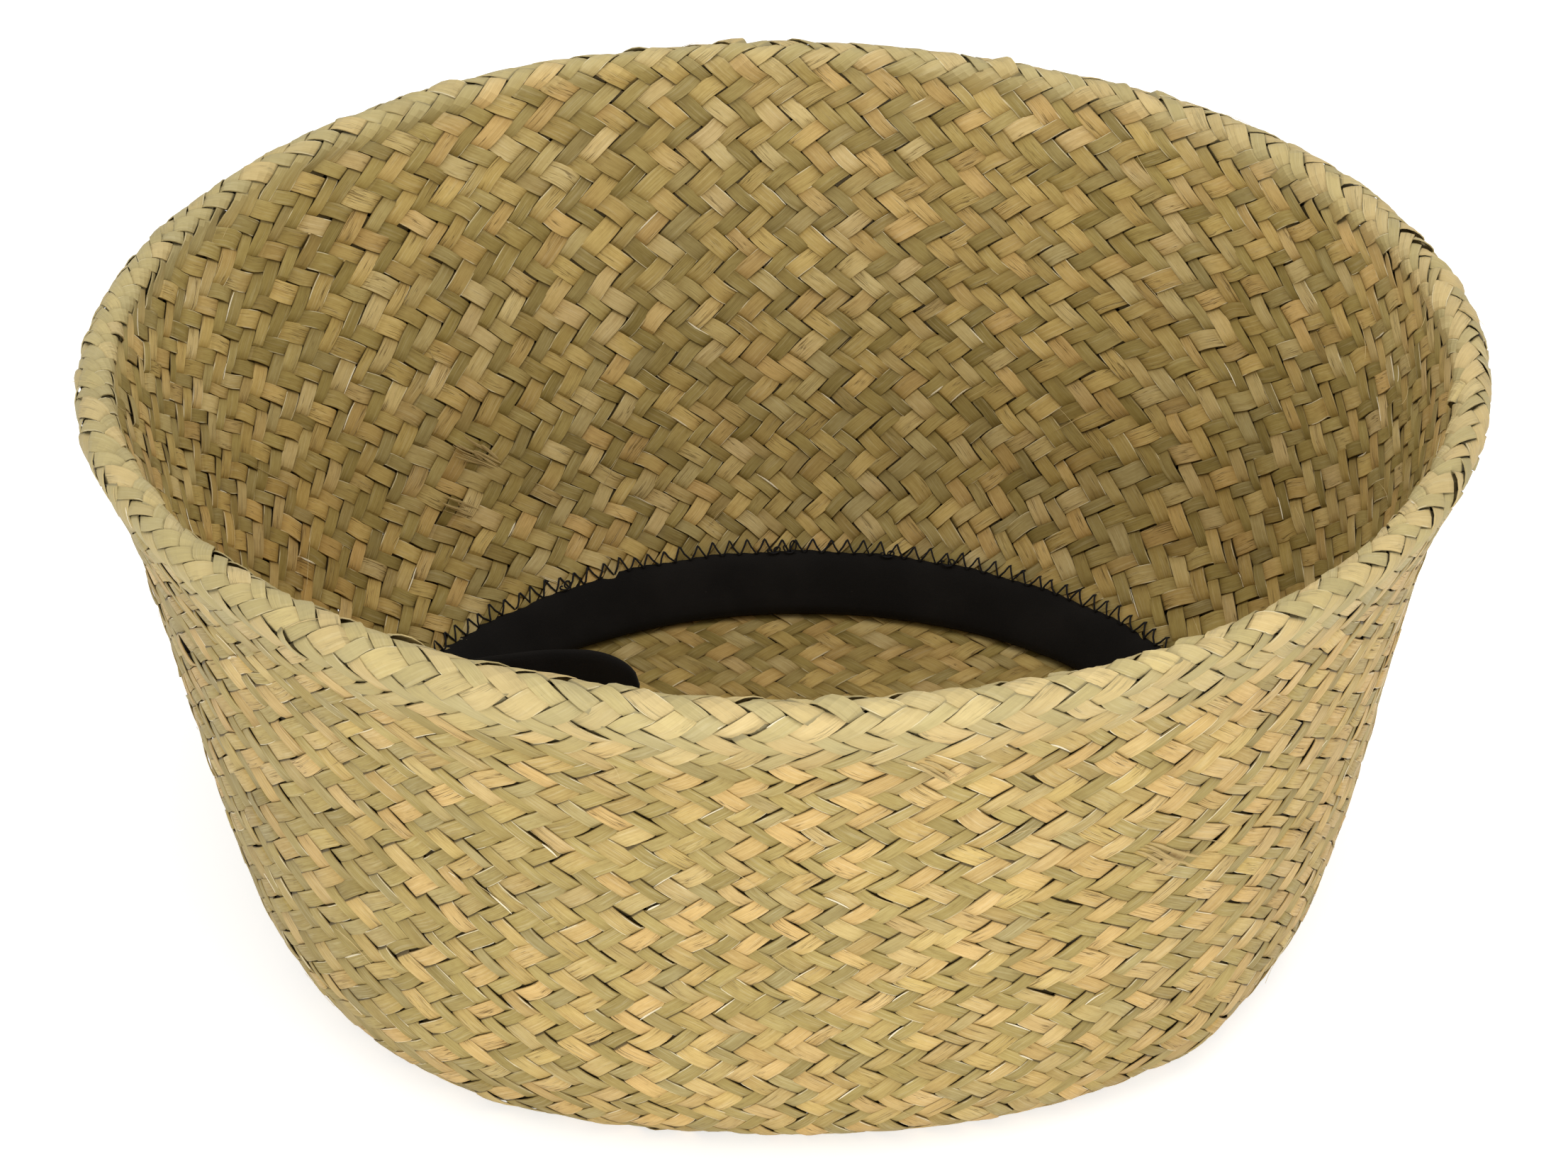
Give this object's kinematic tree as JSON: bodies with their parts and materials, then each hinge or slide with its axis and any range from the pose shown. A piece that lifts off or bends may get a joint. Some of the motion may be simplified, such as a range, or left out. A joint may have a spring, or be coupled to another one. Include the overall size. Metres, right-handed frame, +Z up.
{
  "type": "belly basket",
  "caption": "Round plaited seagrass belly basket, folded down to a planter, with a black velour binding zigzag-stitched to its rim and the tape's loose end inside.",
  "frame": {"origin": "the middle of the flat underside that the basket stands on", "axes": "+Z up through the mouth, +X to the right as the picture shows it, +Y away from the picture's viewer"},
  "size_m": [0.42, 0.42, 0.1817],
  "materials": {
    "seagrass_outside": "satin, dry plaited seagrass, straw and pale green",
    "seagrass_inside": "satin, dry plaited seagrass, darker olive and tan",
    "black_velour": "deep matte pile",
    "black_thread": "matte sewing thread"
  },
  "bodies": {
    "basket": {"plaited_floor": "seagrass_inside", "lower_wall": "seagrass_outside", "fold_roll": "seagrass_outside", "folded_in_wall": "seagrass_inside", "rim_binding": "black_velour", "zigzag_stitching": "black_thread"},
    "loose_end": {"binding_tail": "black_velour"}
  },
  "joints": [
    {"name": "tail_swing", "type": "hinge", "parent": "basket", "child": "loose_end", "pos_m": [-0.11674, 0.04167, 0.0174], "axis": [0, 0, -1], "range_deg": [-4, 60]}
  ]
}
